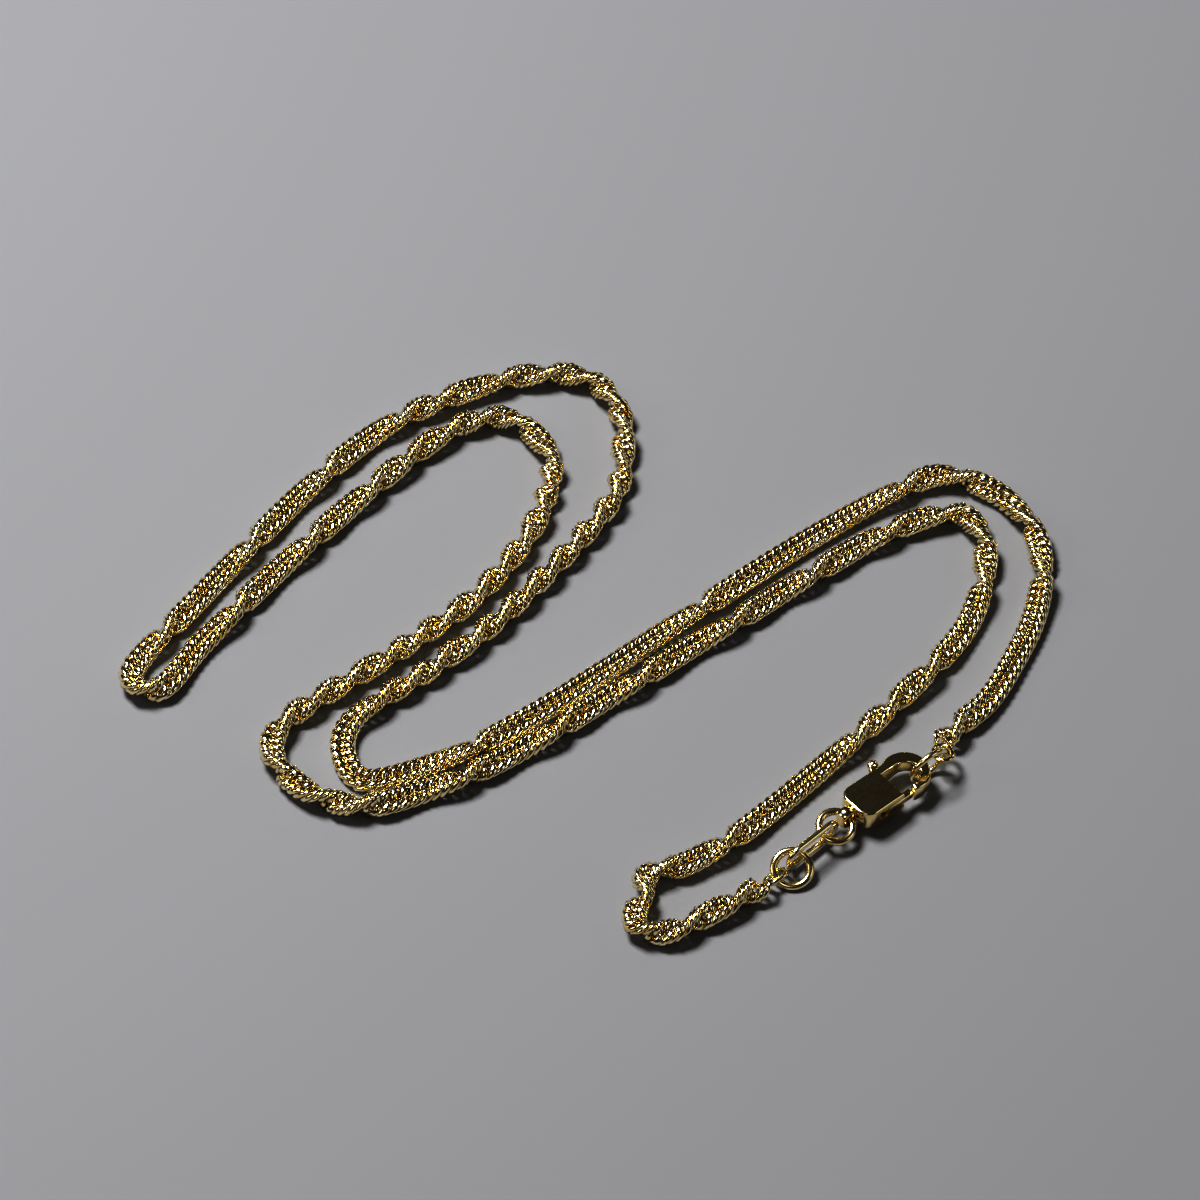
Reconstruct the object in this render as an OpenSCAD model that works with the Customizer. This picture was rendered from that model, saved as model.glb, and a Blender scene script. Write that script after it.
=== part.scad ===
// Singapore chain necklace with lobster clasp, lying in loose bends on a flat surface.
// Millimetres, +Z up, the floor is z = 0 and the origin is under the middle of the part.

/* [Chain] */
// Width of the twisted chain
chain_w = 2.2; // [1.8:0.05:2.3]
// Length of the oval link at each end of the chain
end_link_len = 2.7; // [2.6:0.05:3]
// Width of the oval link at each end of the chain
end_link_w = 2; // [1.9:0.05:2.2]
// Wire of the oval link at each end of the chain
end_link_wire = 0.44; // [0.3:0.02:0.48]

/* [Clasp body] */
// Width of the clasp body
body_w = 3.9; // [3.6:0.1:4.2]
// Thickness of the clasp body
body_t = 2; // [1.8:0.1:2.3]
// Radius of the body's two back corners
body_corner = 1.2; // [0.6:0.1:1.5]
// Outer diameter of the round hook
hook_d = 4.5; // [4.3:0.1:4.8]
// From the eyelet to the middle of the hook's circle
hook_reach = 7.1; // [6.9:0.1:7.5]
// Diameter of the round end of the hook's window
window_d = 2.6; // [2.4:0.1:2.8]
// Straight length of the window behind its round end
window_len = 1.75; // [1.5:0.05:2]
// How much thinner the hook is at its nose, taken from below
nose_rise = 0.85; // [0.8:0.05:1]

/* [Clasp lever] */
// Thickness of the lever's plate
lever_t = 0.7; // [0.5:0.05:0.9]
// Width of the lever's gate, which closes the hook
gate_w = 0.7; // [0.6:0.05:0.8]
// From the pin to the tip of the gate
gate_len = 2.98; // [2.85:0.01:3.05]
// Width of the lever's thumb arm
thumb_w = 0.7; // [0.5:0.05:0.9]
// Diameter of the thumb knob
knob_d = 1.05; // [0.9:0.05:1.2]
// Diameter of the lever's pin
pin_d = 0.6; // [0.5:0.05:0.7]
// Clearance round the lever
lever_gap = 0.08; // [0.06:0.01:0.1]
// Clearance between the pin and its holes
pin_gap = 0.03; // [0.02:0.01:0.05]

/* [Eyelet] */
// Hole of the eyelet bead behind the clasp body
eye_hole_d = 1.2; // [1.15:0.05:1.3]
// Wall of the eyelet bead round its hole
eye_wall = 0.4; // [0.3:0.05:0.5]
// Thickness of the eyelet bead
eye_t = 1; // [0.7:0.05:1.1]

/* [Rings] */
// Outer diameter of the tail ring in the eyelet
tail_ring_d = 3.7; // [3.6:0.05:3.9]
// Wire of the tail ring
tail_wire = 0.7; // [0.6:0.05:0.72]
// Outer diameter of the end ring on the chain
end_ring_d = 3.94; // [3.9:0.02:4.1]
// Wire of the end ring
end_wire = 0.7; // [0.6:0.05:0.72]
// Length of the long link between the tail ring and the end ring
connector_len = 6.4; // [6:0.1:6.8]
// Width of the long link
connector_w = 2.7; // [2.6:0.05:2.9]
// Wire of the long link
connector_wire = 0.6; // [0.5:0.02:0.64]
// Outer diameter of the ring that the hook catches
catch_ring_d = 4.25; // [4.2:0.05:4.4]
// Wire of the ring that the hook catches
catch_wire = 0.55; // [0.45:0.05:0.55]

/* [Hidden] */
$fn = 48;
gold = [0.86, 0.68, 0.32];
pale_gold = [0.92, 0.8, 0.5];
deep_gold = [0.72, 0.52, 0.2];

// The chain's bends on the floor, from the hook to the end ring, without its two end points
CHAIN_BENDS = [
    [33.7, -8.8], [35.9, -6.5], [38.4, -1.8], [40.3, 2.9], [41.2, 7.6], [41.1, 11.9],
    [40.2, 14.6], [37.9, 17.7], [34.6, 19.8], [32.2, 20.2], [29, 18.8], [21.2, 13.2], [10.1, 4.2],
    [-0.7, -5], [-6.1, -9.2], [-11.4, -12.6], [-18.2, -15.6], [-20, -15.7], [-21.2, -14.5],
    [-21.9, -11.5], [-20.9, -8.6], [-14.2, -2.8], [-8.9, 2.2], [0.8, 14.9], [2.7, 18.8], [3.2, 23.4],
    [3, 27.5], [1.1, 31.1], [-0.8, 32.4], [-4.5, 32.7], [-8.2, 31.9], [-15.6, 28.4],
    [-19.3, 25.7], [-24.7, 20], [-35.2, 5.6], [-41.1, -3.4], [-40.7, -4.7], [-39.5, -5.4],
    [-38.2, -5], [-35, -0.1], [-26.3, 11.2], [-15.6, 23.3], [-11.9, 26.4], [-9.4, 27.3], [-7, 27],
    [-3.8, 23.3], [-3.4, 21.2], [-5.1, 14], [-10.1, 5.9], [-16.8, -0.4], [-25.8, -7.6],
    [-27.5, -9.4], [-28.2, -12.2], [-26.6, -15.3], [-23.6, -17.7], [-20, -18.5], [-16.6, -17.8],
    [-7.8, -13.4], [1.1, -6.7], [12.3, 2], [27.2, 13.2], [32.2, 15.4], [34.4, 15.3], [35.8, 13.2],
    [36.2, 10.2], [34.6, 2.9], [32.2, -1], [26.1, -8.3], [17, -18.3], [11.6, -23.1], [8.1, -25.3],
    [5.6, -25.9], [4.9, -27], [5.2, -28.4], [4.2, -30.1], [4.2, -31.8], [5.6, -32.7], [7.4, -32.4]];
chain_sides = 8;

// Place of the clasp: the eyelet's middle, its heading, and how far its nose dips
clasp_at = [22.8, -20.35, 1.8];
clasp_yaw = 41;
clasp_dip = 2.4;

// Clasp plan, seen from above with the eyelet at the origin and the hook along +X
body_back = eye_hole_d / 2 + 0.1;
body_front = hook_reach;
window_mid = [hook_reach - 0.15, -0.2];
window_back = window_mid[0] - window_len;
window_right = window_mid[1] - window_d / 2;
nose_from = 5;
nose_front = hook_reach + hook_d / 2;
pin_at = [3.4, -1];
pin_cover = 0.35;
pin_foot = 0.05;
pin_top = body_t / 2 - pin_cover;
lever_hub_d = 1.6;
slot_back = pin_at[0] - lever_hub_d / 2 - 3 * lever_gap;
thumb_out = 0.9;
knob_at = [5.85, body_w / 2 + thumb_out];
thumb_len = norm(knob_at - pin_at);
thumb_angle = atan2(knob_at[1] - pin_at[1], knob_at[0] - pin_at[0]);

// Ring wires sit round these middle lines
tail_r = (tail_ring_d - tail_wire) / 2;
end_r = (end_ring_d - end_wire) / 2;
catch_r = (catch_ring_d - catch_wire) / 2;

// Tail ring: its wire runs through the eyelet, its middle lies behind the clasp
tail_normal = unit([0.1, -0.2, 0.97]);
tail_az = 50;
tail_wire_at = clasp_point([0.12, 0.07, 0]);
tail_mid = tail_wire_at - tail_r * slope_dir(tail_normal, tail_az);

// End ring: leans on the floor with its far side raised
end_normal = unit([0, -0.43, 0.9]);
end_at = [17.95, -25.55];
end_mid = [end_at[0], end_at[1], end_r * sqrt(1 - pow(end_normal[2], 2)) + end_wire / 2];

// Long link: stands on edge, and the two ring wires pass through it
connector_end_at = end_mid + end_r * slope_dir(end_normal, 61);
connector_tail_at = tail_mid + tail_r * slope_dir(tail_normal, 216);
connector_shift = [0.04, -0.07, 0.08];
connector_mid = (connector_end_at + connector_tail_at) / 2 + connector_shift;
connector_yaw = 45;
connector_pitch = -1.4;
connector_roll = 6;

// Catch ring: stands round the hook's nose, pulled outwards by the chain
nose_mid = clasp_point([(nose_front + window_mid[0] + window_d / 2) / 2, 0, nose_rise / 2]);
catch_yaw = 38;
catch_lean = 12;
catch_normal = [-sin(catch_yaw) * cos(catch_lean), cos(catch_yaw) * cos(catch_lean), sin(catch_lean)];
catch_pull = 0.5;
catch_side = -0.6;
catch_lift = 0.01;
catch_mid = [nose_mid[0] + catch_pull * cos(catch_yaw) - catch_side * sin(catch_yaw),
             nose_mid[1] + catch_pull * sin(catch_yaw) + catch_side * cos(catch_yaw),
             catch_r * cos(catch_lean) + catch_wire / 2 + catch_lift];
catch_far = catch_mid + catch_r * [cos(catch_yaw), sin(catch_yaw), 0];

// Oval end links: each lies round a ring's wire, pointing to the chain
hook_link_yaw = 100;
hook_link_pitch = -15;
hook_link_slack = 0.2;
hook_link_drop = 0.1;
hook_link_mid = catch_far + (end_link_len / 2 - end_link_wire - catch_wire / 2 - hook_link_slack)
    * axis_dir(hook_link_yaw, hook_link_pitch) - [0, 0, hook_link_drop];
ring_link_yaw = 39;
ring_link_pitch = 8;
ring_link_roll = -35;
ring_link_az = 211;
ring_link_shift = [-0.05, 0.02, 0.02];
ring_link_mid = end_mid + end_r * slope_dir(end_normal, ring_link_az) + ring_link_shift;

// The chain's two end points keep their distance from the end links
chain_start_yaw = 93;
chain_start_gap = 0.54;
chain_finish_yaw = 230.2;
chain_finish_gap = 0.176;
CHAIN_ROUTE = concat(
    [beyond_link(hook_link_mid, chain_start_yaw, chain_start_gap)], CHAIN_BENDS,
    [beyond_link(ring_link_mid, chain_finish_yaw, chain_finish_gap)]);

function unit(v) = v / norm(v);

// Direction at a heading and a climb above the floor
function axis_dir(yaw, pitch) = [cos(yaw) * cos(pitch), sin(yaw) * cos(pitch), sin(pitch)];

// Direction in a ring's plane that points to a heading
function slope_dir(normal, az) = let (h = [cos(az), sin(az), 0]) unit(h - (h * normal) * normal);

// Floor point at a heading from an end link's middle and a gap beyond its half length
function beyond_link(mid, yaw, gap) =
    [mid[0], mid[1]] + (end_link_len / 2 + gap) * [cos(yaw), sin(yaw)];

// A point given along, across and above the clasp, in the part's frame
function clasp_point(p) = let (
    along = axis_dir(clasp_yaw, -clasp_dip),
    across = [-sin(clasp_yaw), cos(clasp_yaw), 0],
    above = cross(along, across)) clasp_at + p[0] * along + p[1] * across + p[2] * above;

// Heading of the route's leg after point i, and the mitred side vector at point i
function leg(i) = let (n = len(CHAIN_ROUTE), k = min(max(i, 0), n - 2))
    unit(CHAIN_ROUTE[k + 1] - CHAIN_ROUTE[k]);
function side_at(i) = let (t = unit(leg(i - 1) + leg(i)), s = [-t[1], t[0]]) s / (t * leg(i));

// Points of the eight-sided section at route point i, its flat bottom on the floor
function section_at(i) = let (s = side_at(i), p = CHAIN_ROUTE[i],
    r = chain_w / 2 / cos(180 / chain_sides))
    [for (k = [0:chain_sides - 1]) let (a = (k + 0.5) * 360 / chain_sides)
        [p[0] + s[0] * r * cos(a), p[1] + s[1] * r * cos(a), chain_w / 2 + r * sin(a)]];

module chain() {
    n = len(CHAIN_ROUTE);
    m = chain_sides;
    points = [for (i = [0:n - 1]) each section_at(i)];
    walls = [for (i = [0:n - 2]) for (k = [0:m - 1])
        [i * m + k, (i + 1) * m + k, (i + 1) * m + (k + 1) % m, i * m + (k + 1) % m]];
    first = [for (k = [0:m - 1]) k];
    last = [for (k = [m - 1:-1:0]) (n - 1) * m + k];
    color(gold) polyhedron(points, concat(walls, [first], [last]), convexity = 10);
}

// A round wire ring lying flat, by the radius of its middle line
module wire_ring(r, wire) {
    rotate_extrude() translate([r, 0]) circle(d = wire);
}

// An oval wire link lying flat, its length along X
module oval_link(length, width, wire) {
    r = (width - wire) / 2;
    half = (length - width) / 2;
    for (s = [-1, 1]) {
        translate([0, s * r, 0]) rotate([0, 90, 0]) cylinder(d = wire, h = 2 * half, center = true);
        translate([s * half, 0, 0]) rotate([0, 0, -90 * s])
            rotate_extrude(angle = 180) translate([r, 0]) circle(d = wire);
    }
}

// Turns a flat ring so that its axis is the given normal
module face_along(normal) {
    rotate([0, acos(normal[2]), atan2(normal[1], normal[0])]) children();
}

// Points X along a heading and a climb, turned about its own length by roll
module point_along(yaw, pitch, roll) {
    rotate([0, 0, yaw]) rotate([0, -pitch, 0]) rotate([roll, 0, 0]) children();
}

module hook_end_link() {
    color(gold) translate(hook_link_mid) point_along(hook_link_yaw, hook_link_pitch, 0)
        oval_link(end_link_len, end_link_w, end_link_wire);
}

module ring_end_link() {
    color(gold) translate(ring_link_mid) point_along(ring_link_yaw, ring_link_pitch, ring_link_roll)
        oval_link(end_link_len, end_link_w, end_link_wire);
}

module catch_ring() {
    color(pale_gold) translate(catch_mid) face_along(catch_normal) wire_ring(catch_r, catch_wire);
}

module tail_ring() {
    color(pale_gold) translate(tail_mid) face_along(tail_normal) wire_ring(tail_r, tail_wire);
}

module end_ring() {
    color(pale_gold) translate(end_mid) face_along(end_normal) wire_ring(end_r, end_wire);
}

module connector_link() {
    color(pale_gold) translate(connector_mid)
        point_along(connector_yaw, connector_pitch, connector_roll + 90)
            oval_link(connector_len, connector_w, connector_wire);
}

// Outline of the clasp body without its openings
module body_plan() {
    corner_x = body_back + body_corner;
    corner_y = body_w / 2 - body_corner;
    translate([corner_x, -body_w / 2]) square([body_front - corner_x, body_w]);
    translate([body_back, -corner_y]) square([body_corner + 0.1, 2 * corner_y]);
    for (s = [-1, 1]) translate([corner_x, s * corner_y]) circle(r = body_corner);
    translate([body_front, 0]) circle(d = hook_d);
}

// The window inside the hook
module window_plan() {
    translate(window_mid) circle(d = window_d);
    translate([window_back, window_mid[1] - window_d / 2]) square([window_len, window_d]);
}

// The mouth on the hook's right side, with a round end that the gate's tip can pass
module mouth_plan() {
    intersection() {
        translate(pin_at) circle(r = gate_len + lever_gap);
        translate([window_back, -hook_d]) square([hook_d, hook_d + window_right + 0.1]);
    }
}

// The lever's thumb arm, from the pin outwards
module thumb_plan(width, length) {
    translate(pin_at) rotate(thumb_angle) translate([0, -width / 2]) square([length, width]);
}

// The lever seen from above: hub, gate and thumb arm
module lever_plan() {
    translate(pin_at) circle(d = lever_hub_d);
    intersection() {
        translate(pin_at) circle(r = gate_len);
        translate([pin_at[0], -body_w / 2]) square([2 * gate_len, gate_w]);
    }
    thumb_plan(thumb_w, thumb_len);
}

// The slot in the body's middle, in which the lever swings
module slot_plan() {
    translate([slot_back, -body_w]) square([window_back + 0.1 - slot_back, 2 * body_w]);
    thumb_plan(thumb_w + 2 * lever_gap, thumb_len + knob_d);
}

// Slopes the hook's underside up towards its nose
module nose_undercut() {
    slope = nose_rise / (nose_front - nose_from);
    ahead = nose_front + 1 - nose_from;
    translate([nose_from, hook_d, -body_t / 2]) rotate([90, 0, 0]) linear_extrude(2 * hook_d)
        polygon([[0, 0], [ahead, ahead * slope], [ahead, -1], [0, -1]]);
}

// Puts the clasp's own frame in its place on the floor
module in_clasp_place() {
    translate(clasp_at) rotate([0, clasp_dip, clasp_yaw]) children();
}

module clasp_body() {
    color(gold) in_clasp_place() difference() {
        union() {
            translate([0, 0, -body_t / 2]) linear_extrude(body_t) difference() {
                body_plan();
                window_plan();
                mouth_plan();
            }
            intersection() {
                sphere(d = eye_hole_d + 2 * eye_wall);
                cube([2 * body_back, eye_t, 2 * body_t], center = true);
            }
            translate([body_back - 0.1, -eye_t / 2, -eye_wall]) cube([0.3, eye_t, 2 * eye_wall]);
        }
        rotate([90, 0, 0]) cylinder(d = eye_hole_d, h = 2 * eye_t, center = true);
        translate([0, 0, -lever_t / 2 - lever_gap]) linear_extrude(lever_t + 2 * lever_gap) slot_plan();
        translate([pin_at[0], pin_at[1], -body_t]) cylinder(d = pin_d + 2 * pin_gap, h = body_t + pin_top);
        nose_undercut();
    }
}

module clasp_lever() {
    color(deep_gold) in_clasp_place() difference() {
        union() {
            translate([0, 0, -lever_t / 2]) linear_extrude(lever_t) lever_plan();
            translate([knob_at[0], knob_at[1], 0]) sphere(d = knob_d);
        }
        translate([pin_at[0], pin_at[1], -body_t]) cylinder(d = pin_d + 2 * pin_gap, h = 2 * body_t);
    }
}

module lever_pin() {
    bottom = -body_t / 2 + pin_foot;
    color(pale_gold) in_clasp_place() translate([pin_at[0], pin_at[1], bottom])
        cylinder(d = pin_d, h = pin_top - pin_gap - bottom);
}

chain();
hook_end_link();
ring_end_link();
catch_ring();
clasp_body();
clasp_lever();
lever_pin();
tail_ring();
connector_link();
end_ring();
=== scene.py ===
"""Looks of a Singapore chain necklace that lies closed in loose bends on a pale surface.

The chain is a field of interlocked curb links carried along a twisted path. The clasp, its
lever and the jump rings are polished gold. All lengths in the classes are millimetres, and
the meshes are written in metres.
"""

import logging
import math
from dataclasses import dataclass, field
from enum import Enum

import bmesh
import bpy
import numpy as np
from numpy.typing import NDArray
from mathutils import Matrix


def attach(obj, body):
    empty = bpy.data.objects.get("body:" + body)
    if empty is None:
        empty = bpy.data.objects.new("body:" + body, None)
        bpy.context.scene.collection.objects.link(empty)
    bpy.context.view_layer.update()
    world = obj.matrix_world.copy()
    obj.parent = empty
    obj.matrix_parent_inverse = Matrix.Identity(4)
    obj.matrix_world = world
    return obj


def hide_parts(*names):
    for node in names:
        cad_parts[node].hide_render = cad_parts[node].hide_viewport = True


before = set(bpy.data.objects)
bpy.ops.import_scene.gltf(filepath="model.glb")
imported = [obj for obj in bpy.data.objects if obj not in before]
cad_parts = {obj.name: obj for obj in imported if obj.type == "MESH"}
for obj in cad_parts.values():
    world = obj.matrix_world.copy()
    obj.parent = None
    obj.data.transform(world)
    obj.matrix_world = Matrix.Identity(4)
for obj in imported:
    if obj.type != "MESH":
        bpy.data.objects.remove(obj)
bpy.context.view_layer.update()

Array = NDArray[np.float64]

MM = 0.001
NECKLACE = "necklace"
LEVER = "lever"

# The photograph's view: how far the camera looks down, and the point it looks at
VIEW_DOWN_DEG = 50.0
VIEW_AT = (1.07, 6.16, 0.0)
VIEW_DISTANCE = 640.0
LENS = 211.2

# The clasp's middle and its upward direction
CLASP_AT = np.array([22.8, -20.35, 1.8])
CLASP_UP = np.array([0.0316, 0.0275, 0.9991])

# The chain's route on the floor, from the hook to the end ring
CHAIN_ROUTE = [
    (31.5, -11.3), (33.7, -8.8), (35.9, -6.5), (38.4, -1.8), (40.3, 2.9), (41.2, 7.6), (41.1, 11.9),
    (40.2, 14.6), (37.9, 17.7), (34.6, 19.8), (32.2, 20.2), (29.0, 18.8), (21.2, 13.2), (10.1, 4.2),
    (-0.7, -5.0), (-6.1, -9.2), (-11.4, -12.6), (-18.2, -15.6), (-20.0, -15.7), (-21.2, -14.5),
    (-21.9, -11.5), (-20.9, -8.6), (-14.2, -2.8), (-8.9, 2.2), (0.8, 14.9), (2.7, 18.8), (3.2, 23.4),
    (3.0, 27.5), (1.1, 31.1), (-0.8, 32.4), (-4.5, 32.7), (-8.2, 31.9), (-15.6, 28.4),
    (-19.3, 25.7), (-24.7, 20.0), (-35.2, 5.6), (-41.1, -3.4), (-40.7, -4.7), (-39.5, -5.4),
    (-38.2, -5.0), (-35.0, -0.1), (-26.3, 11.2), (-15.6, 23.3), (-11.9, 26.4), (-9.4, 27.3),
    (-7.0, 27.0), (-3.8, 23.3), (-3.4, 21.2), (-5.1, 14.0), (-10.1, 5.9), (-16.8, -0.4),
    (-25.8, -7.6), (-27.5, -9.4), (-28.2, -12.2), (-26.6, -15.3), (-23.6, -17.7), (-20.0, -18.5),
    (-16.6, -17.8), (-7.8, -13.4), (1.1, -6.7), (12.3, 2.0), (27.2, 13.2), (32.2, 15.4),
    (34.4, 15.3), (35.8, 13.2), (36.2, 10.2), (34.6, 2.9), (32.2, -1.0), (26.1, -8.3),
    (17.0, -18.3), (11.6, -23.1), (8.1, -25.3), (5.6, -25.9), (4.9, -27.0), (5.2, -28.4),
    (4.2, -30.1), (4.2, -31.8), (5.6, -32.7), (7.4, -32.4), (15.5, -27.4),
]

# Lengths along the route at which the twisted chain shows its edge, each half a turn on
EDGE_ON_AT = [
    1.9, 22.4, 28.9, 37.1, 42.6, 66.3, 92.3, 114.3, 117.7, 120.9, 125.4, 128.9, 132.6, 136.1, 139.5,
    143.1, 146.6, 150.2, 154.8, 158.6, 162.2, 166.0, 170.2, 176.4, 180.4, 190.1, 201.0, 213.9,
    222.0, 235.2, 245.6, 254.0, 258.8, 263.8, 267.3, 270.7, 276.0, 279.3, 282.2, 286.4, 290.3,
    294.0, 298.2, 301.7, 304.9, 309.4, 313.3, 316.9, 322.4, 327.5, 331.2, 341.3, 351.1, 360.6,
    371.3, 380.6, 389.2, 394.8, 399.7, 405.0, 416.5, 422.4, 426.8, 443.8, 450.6, 454.6, 458.6,
    462.7, 467.9,
]


def unit(v: Array) -> Array:
    """Scale each row vector of v to length one."""
    return v / np.linalg.norm(v, axis=-1, keepdims=True)


def new_mesh(name: str, points: Array, quads: NDArray[np.int64],
             smooth: bool | NDArray[np.bool_] = True) -> bpy.types.Object:
    """Make a mesh object from whole arrays.

    Args:
        name: The piece's name.
        points: Vertices in millimetres, one row each.
        quads: Four vertex numbers a row, anticlockwise from outside.
        smooth: Whether its faces are shaded smooth, for all or for each face.

    Returns:
        The object, linked to the scene, at the origin.
    """
    mesh = bpy.data.meshes.new(name)
    mesh.from_pydata((points * MM).tolist(), [], quads.tolist())
    mesh.polygons.foreach_set("use_smooth", np.array(np.broadcast_to(smooth, len(quads))))
    mesh.update()
    obj = bpy.data.objects.new(name, mesh)
    bpy.context.scene.collection.objects.link(obj)
    return obj


def torus_quads(rings: int, sides: int) -> NDArray[np.int64]:
    """Faces of a closed tube of closed rings, vertex number ring * sides + side.

    Args:
        rings: Rings along the closed tube.
        sides: Vertices round each ring.

    Returns:
        One row of four vertex numbers for each face.
    """
    r, s = np.meshgrid(np.arange(rings), np.arange(sides), indexing="ij")
    r2, s2 = (r + 1) % rings, (s + 1) % sides
    return np.stack([r * sides + s, r2 * sides + s, r2 * sides + s2, r * sides + s2], -1).reshape(-1, 4)


class Finish(Enum):
    """The finishes of the necklace, by the record's material slots."""

    CHAIN = "chain_gold"
    CLASP = "clasp_gold"
    RING = "ring_gold"


@dataclass(frozen=True)
class Gold:
    """A polished gold alloy with fine polishing marks and a faint change of tone.

    Fields:
        name: The material's name.
        colour: Its colour in the light, linear red, green and blue.
        deep: The deeper tone that it drifts to.
        rough: Lowest and highest roughness.
        marks: Strength of the polishing marks in the bump, 0 to 1.
        grain: Noise scale of the marks, in marks per metre.
        tone_grain: Noise scale of the change of tone, as a share of grain.
        tone_range: Noise values between which the deeper tone turns into the colour.
        tone_detail: Octaves of the noise of tone.
        mark_detail: Octaves of the noise of the marks.
        mark_depth: Depth of the polishing marks, in millimetres.
    """

    name: str
    colour: tuple[float, float, float]
    deep: tuple[float, float, float]
    rough: tuple[float, float]
    marks: float
    grain: float
    tone_grain: float = 0.08
    tone_range: tuple[float, float] = (0.35, 0.6)
    tone_detail: float = 3.0
    mark_detail: float = 4.0
    mark_depth: float = 0.01

    def build(self) -> bpy.types.Material:
        """Build the node material on Object coordinates.

        Returns:
            The finished material.
        """
        mat = bpy.data.materials.new(self.name)
        mat.use_nodes = True
        nodes, links = mat.node_tree.nodes, mat.node_tree.links
        shader = nodes["Principled BSDF"]
        shader.inputs["Metallic"].default_value = 1.0
        place = nodes.new("ShaderNodeTexCoord")
        tone = nodes.new("ShaderNodeTexNoise")
        tone.inputs["Scale"].default_value = self.grain * self.tone_grain
        tone.inputs["Detail"].default_value = self.tone_detail
        links.new(place.outputs["Object"], tone.inputs["Vector"])
        ramp = nodes.new("ShaderNodeValToRGB")
        shades = zip(ramp.color_ramp.elements, self.tone_range, (self.deep, self.colour))
        for stop, position, shade in shades:
            stop.position = position
            stop.color = (*shade, 1.0)
        links.new(tone.outputs["Fac"], ramp.inputs["Fac"])
        links.new(ramp.outputs["Color"], shader.inputs["Base Color"])
        fine = nodes.new("ShaderNodeTexNoise")
        fine.inputs["Scale"].default_value = self.grain
        fine.inputs["Detail"].default_value = self.mark_detail
        links.new(place.outputs["Object"], fine.inputs["Vector"])
        spread = nodes.new("ShaderNodeMapRange")
        spread.inputs["To Min"].default_value = self.rough[0]
        spread.inputs["To Max"].default_value = self.rough[1]
        links.new(fine.outputs["Fac"], spread.inputs["Value"])
        links.new(spread.outputs["Result"], shader.inputs["Roughness"])
        bump = nodes.new("ShaderNodeBump")
        bump.inputs["Strength"].default_value = self.marks
        bump.inputs["Distance"].default_value = self.mark_depth * MM
        links.new(fine.outputs["Fac"], bump.inputs["Height"])
        links.new(bump.outputs["Normal"], shader.inputs["Normal"])
        return mat


GOLDS = {
    Finish.CHAIN: Gold("diamond_cut_gold", colour=(0.98, 0.87, 0.6), deep=(0.9, 0.73, 0.38),
                       rough=(0.1, 0.2), marks=0.15, grain=9000.0),
    Finish.CLASP: Gold("mirror_gold", colour=(0.94, 0.79, 0.45), deep=(0.87, 0.68, 0.32),
                       rough=(0.1, 0.2), marks=0.12, grain=5000.0),
    Finish.RING: Gold("wire_gold", colour=(0.96, 0.83, 0.5), deep=(0.9, 0.73, 0.38),
                      rough=(0.14, 0.26), marks=0.12, grain=7000.0),
}

# The finished materials, filled by main
MATERIALS: dict[Finish, bpy.types.Material] = {}


def dress(obj: bpy.types.Object, finish: Finish, body: str) -> None:
    """Give a piece its gold and the body that it rides on.

    Args:
        obj: The piece.
        finish: Its finish.
        body: The body's name.
    """
    obj.data.materials.clear()
    obj.data.materials.append(MATERIALS[finish])
    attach(obj, body)


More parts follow.
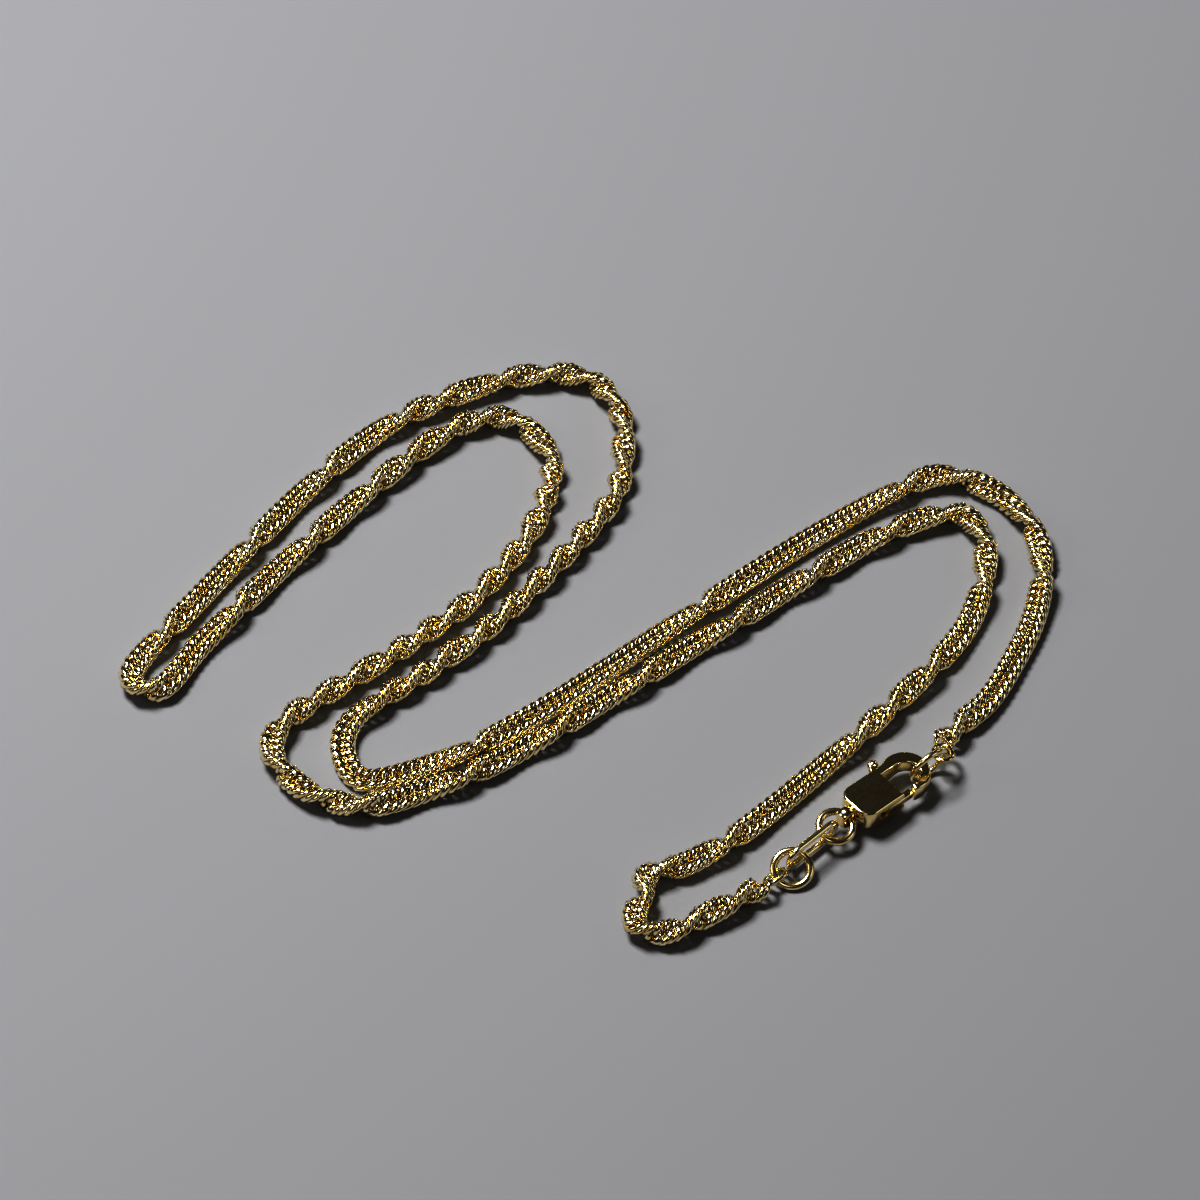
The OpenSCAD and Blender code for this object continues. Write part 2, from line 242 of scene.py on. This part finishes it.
@dataclass
class ChainPath:
    """The chain's middle line with the frame of its twisted ribbon.

    Fields:
        route: Points on the floor that the line runs through.
        edges: Lengths along the line at which the ribbon is edge-on to the camera.
        half_width: Half of the ribbon's width.
        half_thick: Half of its thickness.
        quick_turn: Length of half a turn where the ribbon turns over fastest.
        drift: Half-turns by which it still turns on either side of lying flat.
        tube_height: Height of the middle line in the solid that stands for the chain.
        rest_span: Length over which the ribbon's highest turn carries its neighbours.
        step: Sampling step along the line.
        flat_limit: Most of a stretch that one of its two quick turns may take, as a share.
        length: Length of the line, worked out.
        s: Length along the line at every sample.
        middle: The middle line at every sample.
        along: Its direction there.
        across: The ribbon's direction across.
        face: The direction out of its face.
    """

    route: list[tuple[float, float]]
    edges: list[float]
    half_width: float = 1.2
    half_thick: float = 0.6
    quick_turn: float = 3.6
    drift: float = 0.2
    tube_height: float = 1.1
    rest_span: float = 4.0
    step: float = 0.1
    flat_limit: float = 0.45
    length: float = field(init=False)
    s: Array = field(init=False)
    middle: Array = field(init=False)
    along: Array = field(init=False)
    across: Array = field(init=False)
    face: Array = field(init=False)

    def __post_init__(self) -> None:
        """Sample the line, its tangents and the ribbon's two directions."""
        flat = self.smooth_route()
        gaps = np.linalg.norm(np.diff(flat, axis=0), axis=1)
        run = np.concatenate([[0.0], np.cumsum(gaps)])
        self.length = float(run[-1])
        self.s = np.linspace(0.0, self.length, int(self.length / self.step))
        line = np.stack([np.interp(self.s, run, flat[:, k]) for k in range(2)], axis=1)
        middle = np.column_stack([line, np.full(len(line), self.tube_height)])
        self.frame_ribbon(middle)
        height = self.resting_height()
        down = height - self.tube_height
        middle[:, 2] = height
        middle[:, 1] -= down / math.tan(math.radians(VIEW_DOWN_DEG))
        self.frame_ribbon(middle)

    def smooth_route(self, each: int = 24) -> Array:
        """Run a smooth line through the route's points.

        Between two points it is the cubic whose slopes at both ends come from the points on
        either side, weighed by the square roots of their distances.

        Args:
            each: Samples between two neighbouring points.

        Returns:
            The sampled line on the floor.
        """
        given = np.array(self.route, float)
        beyond = np.vstack([2 * given[0] - given[1], given, 2 * given[-1] - given[-2]])
        d = np.sqrt(np.linalg.norm(np.diff(beyond, axis=0), axis=1))[:, None]
        p0, p1, p2, p3 = beyond[:-3], beyond[1:-2], beyond[2:-1], beyond[3:]
        d1, d2, d3 = d[:-2], d[1:-1], d[2:]
        m1 = ((p1 - p0) / d1 - (p2 - p0) / (d1 + d2) + (p2 - p1) / d2) * d2
        m2 = ((p2 - p1) / d2 - (p3 - p1) / (d2 + d3) + (p3 - p2) / d3) * d2
        u = np.linspace(0.0, 1.0, each, endpoint=False)[None, :, None]
        rows = ((2 * u**3 - 3 * u**2 + 1) * p1[:, None] + (u**3 - 2 * u**2 + u) * m1[:, None]
                + (3 * u**2 - 2 * u**3) * p2[:, None] + (u**3 - u**2) * m2[:, None])
        return np.vstack([rows.reshape(-1, 2), given[-1:]])

    def half_turns(self, lean: Array) -> Array:
        """Half-turns of the ribbon made by each sample, whole where it lies flat.

        It turns over quickly about each length at which it is edge-on to the camera. Between
        two of them it lies nearly flat, and drifts by a share of a half-turn. Through these
        marks runs a cubic whose slope at each mark is the harmonic mean of the slopes on its
        two sides, so that the count never falls.

        Args:
            lean: Angle at each sample between straight up and the sight line, seen along the chain.

        Returns:
            The count at every sample.
        """
        edges = np.array(self.edges)
        gap = np.diff(edges)
        flat = np.arange(len(gap))
        edge_on = np.arange(len(edges)) - 0.5 + np.interp(edges, self.s, lean) / math.pi
        nearest = np.minimum(np.append(gap, gap[-1]), np.append(gap[0], gap))
        quick = np.minimum(self.quick_turn, nearest)
        most = self.flat_limit * gap
        opened = edges[:-1] + np.minimum((flat - self.drift - edge_on[:-1]) * quick[:-1], most)
        closing = edges[1:] - np.minimum((edge_on[1:] - flat - self.drift) * quick[1:], most)
        at = np.concatenate([[edges[0] - quick[0]], edges, opened, closing, [edges[-1] + quick[-1]]])
        turns = np.concatenate([[edge_on[0] - 1], edge_on, flat - self.drift, flat + self.drift,
                                [edge_on[-1] + 1]])
        order = np.argsort(at)
        at, turns = at[order], turns[order]
        h = np.diff(at)
        rate = np.diff(turns) / h
        slope = np.concatenate([rate[:1], 2 * rate[:-1] * rate[1:] / (rate[:-1] + rate[1:]), rate[-1:]])
        i = np.clip(np.searchsorted(at, self.s, side="right") - 1, 0, len(h) - 1)
        u = (self.s - at[i]) / h[i]
        return (turns[i] + (turns[i + 1] - turns[i]) * (3 * u**2 - 2 * u**3)
                + h[i] * slope[i] * (u**3 - 2 * u**2 + u) + h[i] * slope[i + 1] * (u**3 - u**2))

    def frame_ribbon(self, middle: Array) -> None:
        """Set the tangent, the across and the face direction at every sample.

        The ribbon turns to the left: across is cos(a) * side - sin(a) * up, with a = 180 degrees
        * half-turns, where up and side are square to the line and side is level.

        Args:
            middle: The middle line in millimetres.
        """
        self.middle = middle
        self.along = unit(np.gradient(middle, axis=0))
        down = math.radians(VIEW_DOWN_DEG)
        sight = self.square_to_line(np.array([0.0, -math.cos(down), math.sin(down)]))
        up = self.square_to_line(np.array([0.0, 0.0, 1.0]))
        side = np.cross(up, self.along)
        lean = np.arctan2((sight * side).sum(axis=1), (sight * up).sum(axis=1))
        a = (math.pi * self.half_turns(lean))[:, None]
        self.across = np.cos(a) * side - np.sin(a) * up
        self.face = np.cross(self.along, self.across)

    def square_to_line(self, v: Array) -> Array:
        """The part of a direction that is square to the line at each sample, with length one."""
        return unit(v - (self.along @ v)[:, None] * self.along)

    def resting_height(self) -> Array:
        """Height of the middle line as the twisted ribbon lies on its lowest corners.

        A section reaches down by the root of the squares of two products: half its width times
        the rise of across, and half its thickness times the rise of face. The greatest reach
        nearby carries each sample, smoothed with a bell-shaped weight.

        Returns:
            The height at every sample.
        """
        reach = np.sqrt((self.half_width * self.across[:, 2]) ** 2
                        + (self.half_thick * self.face[:, 2]) ** 2)
        half = int(self.rest_span / self.step / 2)
        padded = np.pad(reach, 2 * half, mode="edge")
        widest = np.lib.stride_tricks.sliding_window_view(padded, 2 * half + 1).max(axis=1)
        weights = np.hanning(2 * half + 3)[1:-1]
        return np.convolve(widest, weights / weights.sum(), mode="valid")

    def place(self, s: Array, y: Array, z: Array) -> Array:
        """Points of the ribbon at length s, y across it and z out of its face.

        Args:
            s: Lengths along the line.
            y: Distances across, the same shape.
            z: Distances out of the face, the same shape.

        Returns:
            Points with one more axis of size three.
        """
        inside = np.clip(s, 0.0, self.length)
        beyond = (s - inside)[..., None]
        pick = [np.stack([np.interp(inside, self.s, a[:, k]) for k in range(3)], axis=-1)
                for a in (self.middle, self.along, self.across, self.face)]
        return pick[0] + beyond * pick[1] + y[..., None] * pick[2] + z[..., None] * pick[3]


@dataclass
class TwistedChain:
    """The field of interlocked curb links, each passing through the next two.

    Fields:
        path: The line that the links follow.
        pitch: Distance between neighbouring links.
        half_length: Half of a link's middle line, along the chain.
        half_width: Half of a link's middle line, across it.
        pinch: Share by which the link's quarters are drawn in, towards a diamond.
        rise: How far a link's quarters rise and dip out of its plane.
        wire: The wire's radius.
        cut: Height of the diamond-cut faces above the ribbon's middle.
        edge_cut: Half-width at which the links' ends are cut flat.
        gather: How far the segments gather at the link's quarters, in radians.
        least_left: Height of wire left above its middle at the deepest cut, as a share of wire.
        steps: Segments round a link.
    """

    path: ChainPath
    pitch: float = 0.93
    half_length: float = 1.16
    half_width: float = 0.94
    pinch: float = 0.05
    rise: float = 0.5
    wire: float = 0.28
    cut: float = 0.6
    edge_cut: float = 1.17
    gather: float = 0.07
    least_left: float = 0.2
    steps: int = 16

    def one_link(self) -> tuple[Array, NDArray[np.bool_]]:
        """One link of six-sided wire with its faces cut flat.

        The middle line is (half_length cos t, half_width sin t) * (1 - pinch sin^2 2t), at
        height -rise sin 2t, where t is an even angle u less gather * sin 4u. Two of the wire's
        corners point up and two down. Where a cut takes the wire's top or bottom away, they
        slide down to the cut and apart to the wire's surface there.

        Returns:
            Its vertices along, across and out of the ribbon, and whether each face is a cut one.
        """
        even = np.arange(self.steps) * 2 * math.pi / self.steps
        t = even - self.gather * np.sin(4 * even)
        drawn = 1 - self.pinch * np.sin(2 * t) ** 2
        middle = np.stack([self.half_length * np.cos(t) * drawn, self.half_width * np.sin(t) * drawn,
                           -self.rise * np.sin(2 * t)], axis=1)
        along = unit(np.roll(middle, -1, axis=0) - np.roll(middle, 1, axis=0))
        out = unit(np.cross(along, np.array([0.0, 0.0, 1.0])))
        top = np.cross(out, along)
        r = self.wire
        corner = r * math.sin(math.pi / 3)
        high = np.clip(self.cut - middle[:, 2], self.least_left * r, corner)
        low = np.clip(self.cut + middle[:, 2], self.least_left * r, corner)
        apart_high = np.sqrt(r * r - high**2)
        apart_low = np.sqrt(r * r - low**2)
        none = np.zeros(self.steps)
        outward = np.stack([none + r, apart_high, -apart_high, none - r, -apart_low, apart_low], axis=1)
        upward = np.stack([none, high, high, none, -low, -low], axis=1)
        points = (middle[:, None] + outward[..., None] * out[:, None]
                  + upward[..., None] * top[:, None]).reshape(-1, 3)
        points[:, 2] = np.clip(points[:, 2], -self.cut, self.cut)
        points[:, 1] = np.clip(points[:, 1], -self.edge_cut, self.edge_cut)
        flat = np.zeros(outward.shape, dtype=bool)
        for side, height in ((1, high), (4, low)):
            is_cut = height < corner
            flat[:, side] = is_cut & np.roll(is_cut, -1)
        return points, flat.ravel()

    def build(self) -> bpy.types.Object:
        """Carry the link along the path and dress the whole chain.

        Returns:
            The chain as one mesh.
        """
        link, flat = self.one_link()
        count = int(self.path.length / self.pitch)
        start = (self.path.length - (count - 1) * self.pitch) / 2
        at = start + self.pitch * np.arange(count)
        s = at[:, None] + link[None, :, 0]
        y = np.broadcast_to(link[None, :, 1], s.shape)
        z = np.broadcast_to(link[None, :, 2], s.shape)
        points = self.path.place(s, y, z).reshape(-1, 3)
        quads = torus_quads(self.steps, len(link) // self.steps)
        faces = (quads[None] + (np.arange(count) * len(link))[:, None, None]).reshape(-1, 4)
        chain = new_mesh("twisted_chain", points, faces, ~np.tile(flat, count))
        dress(chain, Finish.CHAIN, NECKLACE)
        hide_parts("chain")
        return chain


@dataclass
class PolishedPart:
    """A CAD piece of the clasp whose sharp edges are rounded by polishing.

    Fields:
        node: The CAD piece that it stands in for.
        finish: Its finish.
        body: The body that it rides on.
        rim: Width of the rounded rim of its broad outer faces.
        edge: Width of the rounding at its other edges.
        broad: Least area of a broad face, in square millimetres.
        outer: Least distance of a broad outer face from the clasp's middle plane.
        level: Least share of a broad outer face's normal that points up or down.
        sharp_deg: Edges that turn more than this are rounded.
        flat_deg: Neighbouring faces that turn less than this are joined.
        shortest: Shorter edges are left as they are.
        merge: Points nearer than this are one.
        segments: Faces across a rounded rim.
        edge_segments: Faces across the rounding at its other edges.
    """

    node: str
    finish: Finish
    body: str
    rim: float
    edge: float
    broad: float = 3.0
    outer: float = 0.3
    level: float = 0.9
    sharp_deg: float = 32.0
    flat_deg: float = 2.0
    shortest: float = 0.01
    merge: float = 0.002
    segments: int = 4
    edge_segments: int = 2

    def sharp_edges(self, bm: bmesh.types.BMesh) -> list[bmesh.types.BMEdge]:
        """Edges between two faces that turn sharply, save the very short ones.

        Args:
            bm: The piece's mesh.

        Returns:
            The edges.
        """
        limit = math.radians(self.sharp_deg)
        least = self.shortest * MM
        return [e for e in bm.edges
                if len(e.link_faces) == 2 and e.calc_face_angle() > limit and e.calc_length() > least]

    def on_rim(self, edge: bmesh.types.BMEdge) -> bool:
        """Whether an edge borders a broad face on the clasp's outside.

        Args:
            edge: The edge.

        Returns:
            True for the top face, the bottom face and the sloping underside of the hook.
        """
        for face in edge.link_faces:
            if face.calc_area() < self.broad * MM * MM:
                continue
            out = np.array(face.normal) @ CLASP_UP
            height = (np.array(face.calc_center_median()) / MM - CLASP_AT) @ CLASP_UP
            if abs(out) > self.level and out * height > self.outer:
                return True
        return False

    def build(self) -> bpy.types.Object:
        """Copy the CAD piece, join its triangles, round its edges and dress it.

        Returns:
            The rounded piece, which replaces the CAD piece.
        """
        bm = bmesh.new()
        bm.from_mesh(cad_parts[self.node].data)
        bmesh.ops.remove_doubles(bm, verts=bm.verts, dist=self.merge * MM)
        bmesh.ops.dissolve_limit(bm, angle_limit=math.radians(self.flat_deg), verts=bm.verts, edges=bm.edges)
        rim = [e for e in self.sharp_edges(bm) if self.on_rim(e)]
        bmesh.ops.bevel(bm, geom=rim, offset=self.rim * MM, segments=self.segments,
                        profile=0.5, affect="EDGES", clamp_overlap=False)
        bmesh.ops.bevel(bm, geom=self.sharp_edges(bm), offset=self.edge * MM,
                        segments=self.edge_segments, profile=0.5, affect="EDGES", clamp_overlap=True)
        for face in bm.faces:
            face.smooth = True
        mesh = bpy.data.meshes.new(f"polished_{self.node}")
        bm.to_mesh(mesh)
        bm.free()
        obj = bpy.data.objects.new(f"polished_{self.node}", mesh)
        bpy.context.scene.collection.objects.link(obj)
        even = obj.modifiers.new("even_normals", "WEIGHTED_NORMAL")
        even.keep_sharp = True
        dress(obj, self.finish, self.body)
        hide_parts(self.node)
        return obj


@dataclass(frozen=True)
class Softbox:
    """A square area light that points at the necklace.

    Fields:
        name: The light's name.
        place: Its middle.
        side: Its side.
        power: Its power in watts.
    """

    name: str
    place: tuple[float, float, float]
    side: float
    power: float

    def hang(self) -> None:
        """Add the light to the scene."""
        light = bpy.data.lights.new(self.name, "AREA")
        light.shape = "SQUARE"
        light.size = self.side * MM
        light.energy = self.power
        obj = bpy.data.objects.new(self.name, light)
        obj.location = [c * MM for c in self.place]
        obj.rotation_euler = obj.location.to_track_quat("Z", "Y").to_euler()
        bpy.context.scene.collection.objects.link(obj)


# The key light comes from behind on the left, as the photograph's shadows show
SOFTBOXES = (
    Softbox("key_light", (-240.0, 200.0, 570.0), 200.0, 5.2),
    Softbox("left_panel", (-560.0, -60.0, 330.0), 260.0, 0.36),
    Softbox("right_panel", (520.0, -140.0, 260.0), 260.0, 0.15),
    Softbox("front_panel", (-120.0, -420.0, 520.0), 200.0, 0.16),
    Softbox("back_panel", (400.0, 420.0, 260.0), 200.0, 0.15),
)


@dataclass
class Studio:
    """The pale floor, the soft lights and the camera.

    Fields:
        floor_half: Half of the floor's side.
        floor_colour: The floor's colour.
        floor_rough: The floor's roughness.
        world: Strength and grey of the surroundings.
        tone: Exposure and gamma of the picture, as contrasty as the photograph.
        sensor: Width of the camera's sensor.
        nearest: Distance from which the camera sees.
    """

    floor_half: float = 600.0
    floor_colour: tuple[float, float, float] = (0.22, 0.22, 0.227)
    floor_rough: float = 0.8
    world: tuple[float, float] = (1.0, 0.022)
    tone: tuple[float, float] = (0.85, 0.6)
    sensor: float = 36.0
    nearest: float = 10.0

    def floor(self) -> bpy.types.Object:
        """A flat plain floor.

        Returns:
            The floor.
        """
        h = self.floor_half
        points = h * np.array([[-1.0, -1.0, 0.0], [1.0, -1.0, 0.0], [1.0, 1.0, 0.0], [-1.0, 1.0, 0.0]])
        obj = new_mesh("floor", points, np.array([[0, 1, 2, 3]]), smooth=False)
        mat = bpy.data.materials.new("pale_floor")
        mat.use_nodes = True
        shader = mat.node_tree.nodes["Principled BSDF"]
        shader.inputs["Base Color"].default_value = (*self.floor_colour, 1.0)
        shader.inputs["Roughness"].default_value = self.floor_rough
        obj.data.materials.append(mat)
        return obj

    def surroundings(self) -> None:
        """Fill the world with a dim even grey and set the picture's tone curve."""
        view = bpy.context.scene.view_settings
        view.view_transform = "Standard"
        view.exposure, view.gamma = self.tone
        world = bpy.data.worlds.new("studio")
        bpy.context.scene.world = world
        world.use_nodes = True
        back = world.node_tree.nodes["Background"]
        strength, grey = self.world
        back.inputs["Color"].default_value = (grey, grey, grey, 1.0)
        back.inputs["Strength"].default_value = strength

    def camera(self) -> None:
        """Set the camera at the photograph's angle and framing."""
        data = bpy.data.cameras.new("camera")
        data.lens = LENS
        data.sensor_width = self.sensor
        data.clip_start = self.nearest * MM
        obj = bpy.data.objects.new("camera", data)
        down = math.radians(VIEW_DOWN_DEG)
        back = np.array([0.0, -math.cos(down), math.sin(down)]) * VIEW_DISTANCE
        obj.location = [(a + b) * MM for a, b in zip(VIEW_AT, back)]
        obj.rotation_euler = (math.pi / 2 - down, 0.0, 0.0)
        bpy.context.scene.collection.objects.link(obj)
        bpy.context.scene.camera = obj

    def build(self) -> None:
        """Set up floor, world, lights and camera."""
        self.floor()
        self.surroundings()
        for light in SOFTBOXES:
            light.hang()
        self.camera()


# The clasp's pieces with rounded edges; on the lever the rim is finer and its faces are nearer
POLISHED = (
    PolishedPart("clasp_body", Finish.CLASP, NECKLACE, rim=0.2, edge=0.05),
    PolishedPart("clasp_lever", Finish.CLASP, LEVER, rim=0.1, edge=0.05, outer=0.1),
)

# The pieces that keep their solid's shape
AS_BUILT = {
    "hook_end_link": Finish.CHAIN,
    "ring_end_link": Finish.CHAIN,
    "catch_ring": Finish.RING,
    "tail_ring": Finish.RING,
    "end_ring": Finish.RING,
    "connector_link": Finish.RING,
    "lever_pin": Finish.CLASP,
}


def main() -> None:
    """Build the necklace piece by piece and report each."""
    logging.basicConfig(level=logging.INFO, format="%(message)s")
    log = logging.getLogger("necklace")
    for finish, gold in GOLDS.items():
        MATERIALS[finish] = gold.build()
    Studio().build()
    path = ChainPath(CHAIN_ROUTE, EDGE_ON_AT)
    chain = TwistedChain(path).build()
    log.info("%s: %d faces, path %.1f mm", chain.name, len(chain.data.polygons), path.length)
    for part in POLISHED:
        piece = part.build()
        log.info("%s: %d faces", piece.name, len(piece.data.polygons))
    for name, finish in AS_BUILT.items():
        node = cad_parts[name]
        node.data.materials.clear()
        node.data.materials.append(MATERIALS[finish])
        log.info("%s: dressed", name)


if __name__ == "__main__":
    main()
